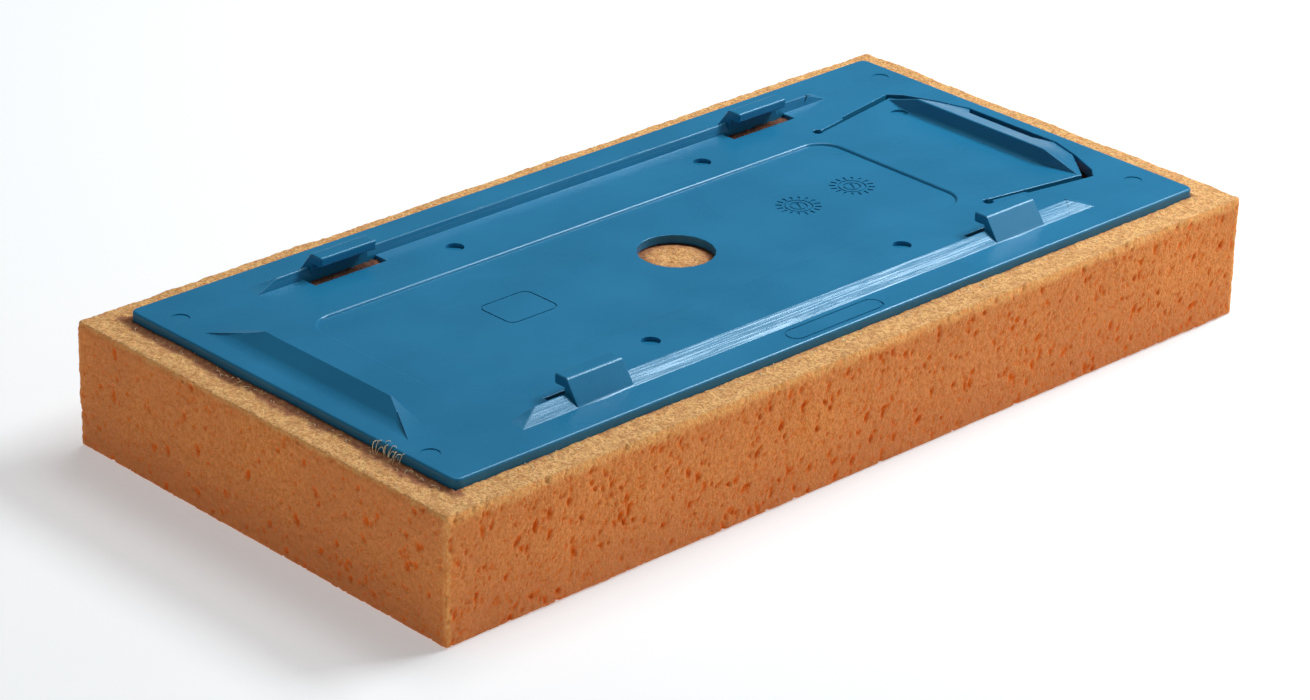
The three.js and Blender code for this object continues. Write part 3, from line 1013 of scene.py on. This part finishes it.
# Sizes of the moulding's rounded edges and filled inner corners. BEVEL_WIDTH is the bevel's own
# width, and each of the others is set as a share of it.
BEVEL_WIDTH = 2.4
BEVEL_SEGMENTS = 4
RIM_ROUND = 0.8
CREST_ROUND = 0.5
RAIL_CREST_ROUND = 0.8
RAIL_HIP_ROUND = 0.3
HOOK_ROUND = 0.7
SLOT_ROUND = 0.35
RECESS_ROUND = 0.55
BOTTOM_ROUND = 0.2
RIDGE_FILLET = 1.1
STOP_FILLET = 2.4
HOOK_FILLET = 0.9
HOOK_BASE_Y = (63.0, 63.8)
STOP_CREST_ROUND = 0.16
RIDGE_BASE_X = (133.5, 135.0)
RIDGE_BASE_Y = 30.5
STOP_BASE_X = -148

# Where an edge belongs to what: across from the centre line, height above the floor, and X.
RIM_MARGIN = 1.0
UNDER_FLOOR = 1.0
RAISED = 1.0
RAIL_ZONE = 50.0
HOOK_ZONE = (50.0, 64.0)
HOOK_RAISED = 4.4
STOP_ZONE_LENGTH = 20.0
RECESS_ZONE = 34.0
RECESS_END_GAP = 3.0
HOLE_ZONE_RADIUS = 13.0
ALONG_X = 0.97

# Points closer than these are one, and faces that meet flatter than this are one face.
WELD = 0.01
FINE_WELD = 0.002
FLAT_ANGLE = math.radians(0.5)
SHARP_ANGLE = math.radians(27)
CREASE_ANGLE = math.radians(38)
INNER_CREASE_ANGLE = math.radians(20)

# Round ends of the tongue's slots (X, Y, radius), the bridge over the seam at its root, the
# stretch that bends when it is pressed, and half of the narrowest gap round it.
SLOT_END = (98.8, 38.4, 1.7)
SEAM_HALF_WIDTH = 37.25
SEAM_X = (HINGE_X - 0.5, HINGE_X + 0.7)
SPLIT_X = 100.2
BEND_END_X = 113.0
BEND_PITCH = 2.13
GAP_HALF = 0.25
RECESS_FLOOR_Z = FLOOR_Z - 0.8

# Lines that part the moulding's flat faces into cells, clear of its features.
CELL_X = (
    -153, -131.5, -118, -107.5, -91, -70, -52, -36, -20, -5,
    15, 29, 43, 60, 86, 118, 130, 142.3, 155,
)
CELL_Y = (-69, -47.5, -35, -22.5, -9, 0.4, 9, 22.5, 35, 47.5, 69)


def copy_of(node, name):
    """A new piece with a copy of a CAD node's mesh, its points welded."""
    mesh = frame["nodes"][node].data.copy()
    with editing(mesh) as shape:
        bmesh.ops.remove_doubles(shape, verts=shape.verts, dist=FINE_WELD * MM)
        for layer in list(shape.loops.layers.uv):
            shape.loops.layers.uv.remove(layer)
    mesh.materials.clear()
    return link(name, mesh)


def make_moulding():
    """Plate and tongue as the one moulding that they are, with rounded edges and mould marks."""
    moulding = copy_of("backing_plate", "plate")
    combine(moulding, copy_of("latch_tongue", "tongue_copy"), "UNION")
    start, end = SEAM_X
    half = SEAM_HALF_WIDTH
    seam = [(start, -half), (end, -half), (end, half), (start, half)]
    bridge = gather("bridge", [prism_parts(seam, TONGUE_LOW[2], FLOOR_Z)])
    combine(moulding, bridge, "UNION")
    x, y, radius = SLOT_END
    low, high = PLATE_LOW[2] - 1, FLOOR_Z + 1
    discs = [prism_parts(circle(x, side * y, radius), low, high) for side in (1, -1)]
    combine(moulding, gather("slot_ends", discs), "DIFFERENCE")
    clean_faces(moulding)
    round_edges(moulding)
    combine(moulding, gather("marks", mould_marks()), "DIFFERENCE")
    return moulding


def cell_planes():
    """Planes that part the moulding's flat faces into small cells: point and normal of each."""
    planes = [((x, 0, 0), (1, 0, 0)) for x in evenly(SPLIT_X, BEND_END_X, BEND_PITCH)]
    planes += [((x, 0, 0), (1, 0, 0)) for x in CELL_X]
    planes += [((0, y, 0), (0, 1, 0)) for y in CELL_Y]
    return planes


def clean_faces(piece):
    """Joins the coplanar triangles that the booleans leave, but only within one cell."""
    with editing(piece.data) as shape:
        bmesh.ops.remove_doubles(shape, verts=shape.verts, dist=WELD * MM)
        for point, normal in cell_planes():
            parts = list(shape.verts) + list(shape.edges) + list(shape.faces)
            place = Vector(point) * MM
            cut = bmesh.ops.bisect_plane(
                shape, geom=parts, dist=FINE_WELD * MM, plane_co=place, plane_no=normal
            )
            for part in cut["geom_cut"]:
                if isinstance(part, bmesh.types.BMEdge):
                    part.seam = True
        bmesh.ops.dissolve_limit(
            shape,
            angle_limit=FLAT_ANGLE,
            verts=shape.verts,
            edges=shape.edges,
            delimit={"SEAM"},
        )


def runs_along_x(edge):
    run = edge.verts[0].co - edge.verts[1].co
    return abs(run.x) > ALONG_X * run.length


def fillet_size(middle, height, across):
    """How far an inner corner is filled, in millimetres: at the feet of the ridge, stop and hooks."""
    if RIDGE_BASE_X[0] < middle.x < RIDGE_BASE_X[1] and across < RIDGE_BASE_Y:
        return RIDGE_FILLET
    at_floor = abs(height) < TINY
    if middle.x < STOP_BASE_X and at_floor:
        return STOP_FILLET
    at_hook = min(abs(middle.x - x) for x in HOOK_X) < HOOK_HALF_LENGTH - TINY
    if at_hook and at_floor and HOOK_BASE_Y[0] < across < HOOK_BASE_Y[1]:
        return HOOK_FILLET
    return 0


def round_size(edge):
    """How round an edge of the moulding is, in millimetres."""
    middle = (edge.verts[0].co + edge.verts[1].co) / 2 / MM
    low = min(vertex.co.z for vertex in edge.verts) / MM
    height = middle.z - FLOOR_Z
    across = abs(middle.y)
    if not edge.is_convex:
        return fillet_size(middle, height, across)
    if low < FLOOR_Z - UNDER_FLOOR:
        return BOTTOM_ROUND if middle.z < FLOOR_Z - UNDER_FLOOR else SLOT_ROUND
    if max(abs(middle.x) - PLATE_HIGH[0], across - PLATE_HIGH[1]) > -RIM_MARGIN:
        return RIM_ROUND
    if height > HOOK_RAISED and HOOK_ZONE[0] < across < HOOK_ZONE[1]:
        return HOOK_ROUND
    if height > RAISED and across > RAIL_ZONE:
        return RAIL_CREST_ROUND if runs_along_x(edge) else RAIL_HIP_ROUND
    if height > RAISED:
        return STOP_CREST_ROUND if middle.x < PLATE_LOW[0] + STOP_ZONE_LENGTH else CREST_ROUND
    outside_hole = math.hypot(middle.x - HOLE_X, middle.y) > HOLE_ZONE_RADIUS
    if across < RECESS_ZONE and middle.x < HINGE_X - RECESS_END_GAP and outside_hole:
        return RECESS_ROUND
    return SLOT_ROUND


def round_edges(piece):
    """Bevels the moulding's sharp edges, each to its own size."""
    with editing(piece.data) as shape:
        layer = shape.edges.layers.float.new("bevel_weight_edge")
        for edge in shape.edges:
            if len(edge.link_faces) == 2 and edge.calc_face_angle(0) > SHARP_ANGLE:
                edge[layer] = round_size(edge) / BEVEL_WIDTH
    bevel = piece.modifiers.new("bevel", "BEVEL")
    bevel.limit_method = "WEIGHT"
    bevel.width = BEVEL_WIDTH * MM
    bevel.segments = BEVEL_SEGMENTS
    bevel.use_clamp_overlap = False
    bevel.miter_outer = "MITER_ARC"
    apply_modifiers(piece)


# Marks that the mould leaves: place of each, on the seat's floor or in the recess.
EJECTORS = [(-53.8, 45.7), (51.6, 44.6), (-54.7, -44.0), (52.8, -44.3)]
TONGUE_EJECTOR = (131.2, 31.9)
CORNER_PINS = [(-149.8, 59.9), (-151.9, -57.0), (149.9, 58.9), (147.4, -57.5)]
EJECTOR_RADIUS = 3.0
EJECTOR_DEPTH = 1.5
TONGUE_EJECTOR_DEPTH = 0.7
PIN_DEPTH = 0.35
EJECTOR_LEAN = (0.70, 0.71)
GROOVE_WIDTH = 0.5
GROOVE_DEPTH = 0.3
DIAL_X = (51.4, 75.8)
DIAL_RADIUS = 7.4
DIAL_RINGS = (0.4, 0.64)
DIAL_TICKS = 16
DIAL_TICK_START = 0.72
DIAL_TICK_WIDTH = 0.8
POINTER_ANGLE = math.radians(60)
POINTER_REACH = 2.0
POINTER_WIDTH = 0.9

# Blank panels, in the recess and on the near rim: lowest and highest X, the same of Y, radius.
PANEL = (-77.0, -57.0, -7.0, 9.0, 3.0)
RIM_PANEL = (-22.0, 17.5, -72.4, -65.2, 3.5)

# How far a mark's cutter stands above the face that it cuts.
CUT_ABOVE = 0.6


def ejector_parts(x, y, depth):
    """A dimple with a tilted floor, deepest on its far side."""
    lean_x, lean_y = EJECTOR_LEAN

    def bottom(px, py):
        along = ((px - x) * lean_x + (py - y) * lean_y) / EJECTOR_RADIUS
        return FLOOR_Z - depth * (0.52 + 0.48 * along)

    return prism_parts(circle(x, y, EJECTOR_RADIUS), bottom, FLOOR_Z + CUT_ABOVE)


def groove_parts(outer, inner, surface_z):
    return band_parts(outer, inner, surface_z - GROOVE_DEPTH, surface_z + CUT_ABOVE)


def ring_parts(x, y, radius, surface_z):
    return groove_parts(circle(x, y, radius), circle(x, y, radius - GROOVE_WIDTH), surface_z)


def panel_parts(x_low, x_high, y_low, y_high, radius, surface_z):
    """A groove round a blank rounded panel."""
    w = GROOVE_WIDTH
    outer = rounded_rectangle(x_low, x_high, y_low, y_high, radius)
    inner = rounded_rectangle(x_low + w, x_high - w, y_low + w, y_high - w, radius - w)
    return groove_parts(outer, inner, surface_z)


def slit_parts(x, y, angle, start, end, width, surface_z):
    """A short straight groove from start to end along a ray from (x, y)."""
    c, s = math.cos(angle), math.sin(angle)
    corners = [(start, -width / 2), (end, -width / 2), (end, width / 2), (start, width / 2)]
    outline = [(x + u * c - v * s, y + u * s + v * c) for u, v in corners]
    return prism_parts(outline, surface_z - GROOVE_DEPTH, surface_z + CUT_ABOVE)


def dial_parts(x, y, surface_z):
    """A plain date wheel: two rings, a ring of ticks and a pointer, with no figures."""
    parts = [ring_parts(x, y, DIAL_RADIUS * share, surface_z) for share in DIAL_RINGS]
    start, end = DIAL_RADIUS * DIAL_TICK_START, DIAL_RADIUS
    for i in range(DIAL_TICKS):
        angle = 2 * math.pi * i / DIAL_TICKS
        parts.append(slit_parts(x, y, angle, start, end, DIAL_TICK_WIDTH, surface_z))
    reach = POINTER_REACH
    parts.append(slit_parts(x, y, POINTER_ANGLE, -reach, reach, POINTER_WIDTH, surface_z))
    return parts


def mould_marks():
    parts = [ejector_parts(x, y, EJECTOR_DEPTH) for x, y in EJECTORS]
    parts += [ejector_parts(x, y, PIN_DEPTH) for x, y in CORNER_PINS]
    parts.append(ejector_parts(*TONGUE_EJECTOR, TONGUE_EJECTOR_DEPTH))
    for x in DIAL_X:
        parts += dial_parts(x, 0, RECESS_FLOOR_Z)
    parts.append(panel_parts(*PANEL, RECESS_FLOOR_Z))
    parts.append(panel_parts(*RIM_PANEL, FLOOR_Z))
    return parts


def finish_plastic(piece, material):
    """Smooth over the rounded edges, with a crease at each sharp one and each inner corner."""
    with editing(piece.data) as shape:
        for face in shape.faces:
            face.smooth = True
        for edge in shape.edges:
            if len(edge.link_faces) == 2:
                limit = CREASE_ANGLE if edge.is_convex else INNER_CREASE_ANGLE
                edge.smooth = edge.calc_face_angle(0) < limit
    normals = piece.modifiers.new("normals", "WEIGHTED_NORMAL")
    normals.keep_sharp = True
    piece.data.materials.clear()
    piece.data.materials.append(material)


def tongue_hull():
    """The tongue's outline without its notch, as the corners of a convex polygon."""
    points = [Vector((v.co.x, v.co.y)) / MM for v in frame["nodes"]["latch_tongue"].data.vertices]
    return [points[i] for i in convex_hull_2d(points)]


def in_tongue(point, hull):
    """True if a point is in the tongue's outline, or past it by less than half of the gap."""
    if point.x < SPLIT_X:
        return False
    for a, b in zip(hull, hull[1:] + hull[:1]):
        side = (b - a).normalized()
        beyond = side.y * (point.x - a.x) - side.x * (point.y - a.y)
        root_side = max(a.x, b.x) < HINGE_X + 1
        if beyond > GAP_HALF and not root_side:
            return False
    return True


def split_tongue(moulding):
    """Cuts the tongue off at its root and returns it as its own piece."""
    shape = bmesh.new()
    shape.from_mesh(moulding.data)
    hull = tongue_hull()
    tongue_shape = shape.copy()
    for part, is_tongue in ((shape, False), (tongue_shape, True)):
        others = [f for f in part.faces if in_tongue(f.calc_center_median() / MM, hull) != is_tongue]
        bmesh.ops.delete(part, geom=others, context="FACES")
        rims = [e for e in part.edges if e.is_boundary]
        bmesh.ops.holes_fill(part, edges=rims, sides=0)
        bmesh.ops.recalc_face_normals(part, faces=part.faces)
    mesh = bpy.data.meshes.new("tongue")
    tongue_shape.to_mesh(mesh)
    shape.to_mesh(moulding.data)
    tongue_shape.free()
    shape.free()
    return link("tongue", mesh)


def make_plate():
    material = plastic_material()
    plate = make_moulding()
    tongue = split_tongue(plate)
    finish_plastic(plate, material)
    finish_plastic(tongue, material)
    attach(plate, "root")
    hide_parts("backing_plate")
    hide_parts("latch_tongue")
    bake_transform(tongue)


# ---- Glue ----

GLUE_TOP_GAP = 0.05
GLUE_SINK = 0.3
GLUE_STEP = 1.2
GLUE_CORNER = 2.6
GLUE_WIDTH = 6.0
GLUE_SQUEEZE = -0.5


def resample(outline, step):
    """Points about step apart along a closed outline."""
    points = []
    count = len(outline)
    for i in range(count):
        (x1, y1), (x2, y2) = outline[i], outline[(i + 1) % count]
        length = math.hypot(x2 - x1, y2 - y1)
        pieces = max(1, round(length / step))
        for k in range(pieces):
            t = k / pieces
            points.append((x1 + (x2 - x1) * t, y1 + (y2 - y1) * t))
    return points


def make_glue():
    """The film under the plate, squeezed out past its edge in an uneven line."""
    half_x, half_y = PLATE_HIGH[0], PLATE_HIGH[1]
    outline = rounded_rectangle(-half_x, half_x, -half_y, half_y, GLUE_CORNER)
    ring = np.array([(x, y, 0.0) for x, y in resample(outline, GLUE_STEP)])
    squeeze = GLUE_SQUEEZE + 1.0 * value_noise(ring, 9, 31) + 0.6 * value_noise(ring, 2.6, 32)
    x_share, y_share = ring[:, 0] / half_x, ring[:, 1] / half_y
    at_end = np.abs(x_share) > np.abs(y_share)
    out_x = np.where(at_end, np.sign(x_share), 0)
    out_y = np.where(at_end, 0, np.sign(y_share))
    out = np.stack([out_x, out_y], axis=1)
    outer = ring[:, :2] + out * squeeze[:, None]
    inner = ring[:, :2] - out * GLUE_WIDTH
    bottom, top = FILM_LOW[2] - GLUE_SINK, PLATE_LOW[2] - GLUE_TOP_GAP
    piece = gather("glue", [band_parts(outer.tolist(), inner.tolist(), bottom, top)])
    piece.data.materials.append(glue_material())
    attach(piece, "root")
    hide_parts("adhesive_film")


# ---- Loose fibres ----

FIBRE_RADIUS = 0.11
FIBRE_STEPS = 9
FIBRE_SIDES = 5
FIBRE_CORNER = (-159.2, -47.0)
FIBRE_SINK = 0.3
CORNER_FIBRES = 16
BORDER_FIBRES = 260
BORDER_DEPTH = (0.6, 3.4)


def fibre_parts(start, turn, length, lift, curl):
    """A thin closed tube along a strand that springs up from the foam and bends back to it."""
    points = []
    for i in range(FIBRE_STEPS):
        t = i / (FIBRE_STEPS - 1)
        angle = turn + curl * (t - 0.5)
        along = Vector((math.cos(angle), math.sin(angle), 0)) * length * t
        centre = Vector(start) + along + Vector((0, 0, lift * math.sin(math.pi * t)))
        side = Vector((-math.sin(angle), math.cos(angle), 0))
        for k in range(FIBRE_SIDES):
            a = 2 * math.pi * k / FIBRE_SIDES
            offset = side * math.cos(a) + Vector((0, 0, 1)) * math.sin(a)
            points.append(tuple(centre + offset * FIBRE_RADIUS))
    faces = []
    for i in range(FIBRE_STEPS - 1):
        faces += ring_faces(i * FIBRE_SIDES, (i + 1) * FIBRE_SIDES, FIBRE_SIDES)
    faces.append(tuple(range(FIBRE_SIDES)))
    faces.append(tuple((FIBRE_STEPS - 1) * FIBRE_SIDES + k for k in range(FIBRE_SIDES)))
    return points, faces


def border_point(rng):
    """A random place on the foam's free border, in millimetres."""
    along_x = rng.random() < 0.6
    side = 1 if rng.random() < 0.5 else -1
    depth = rng.uniform(*BORDER_DEPTH)
    if along_x:
        return rng.uniform(-1, 1) * PLATE_HIGH[0], side * (PLATE_HIGH[1] + depth)
    return side * (PLATE_HIGH[0] + depth), rng.uniform(-1, 1) * PLATE_HIGH[1]


def make_fibres():
    """Loose strands of foam: a tuft near one corner of the plate, and stubble round its edge."""
    rng = np.random.default_rng(17)
    surface_z = SPONGE_HIGH[2] + BORDER_RISE - FIBRE_SINK
    parts = []
    for _ in range(CORNER_FIBRES):
        x = FIBRE_CORNER[0] + rng.uniform(-1.0, 1.2)
        y = FIBRE_CORNER[1] + rng.uniform(-5, 5)
        turn, curl = rng.uniform(-0.8, 0.8), rng.uniform(-2.6, 2.6)
        length, lift = rng.uniform(3, 5), rng.uniform(2, 4.6)
        parts.append(fibre_parts((x, y, surface_z), turn, length, lift, curl))
    for _ in range(BORDER_FIBRES):
        x, y = border_point(rng)
        turn, curl = rng.uniform(-math.pi, math.pi), rng.uniform(-2.0, 2.0)
        length, lift = rng.uniform(0.8, 2.0), rng.uniform(0.4, 1.0)
        parts.append(fibre_parts((x, y, surface_z), turn, length, lift, curl))
    piece = gather("fibres", parts)
    piece.data.materials.append(fibre_material())
    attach(piece, "root")


# ---- The scene ----

make_camera()
make_stage()
make_sponge()
make_plate()
make_glue()
make_fibres()
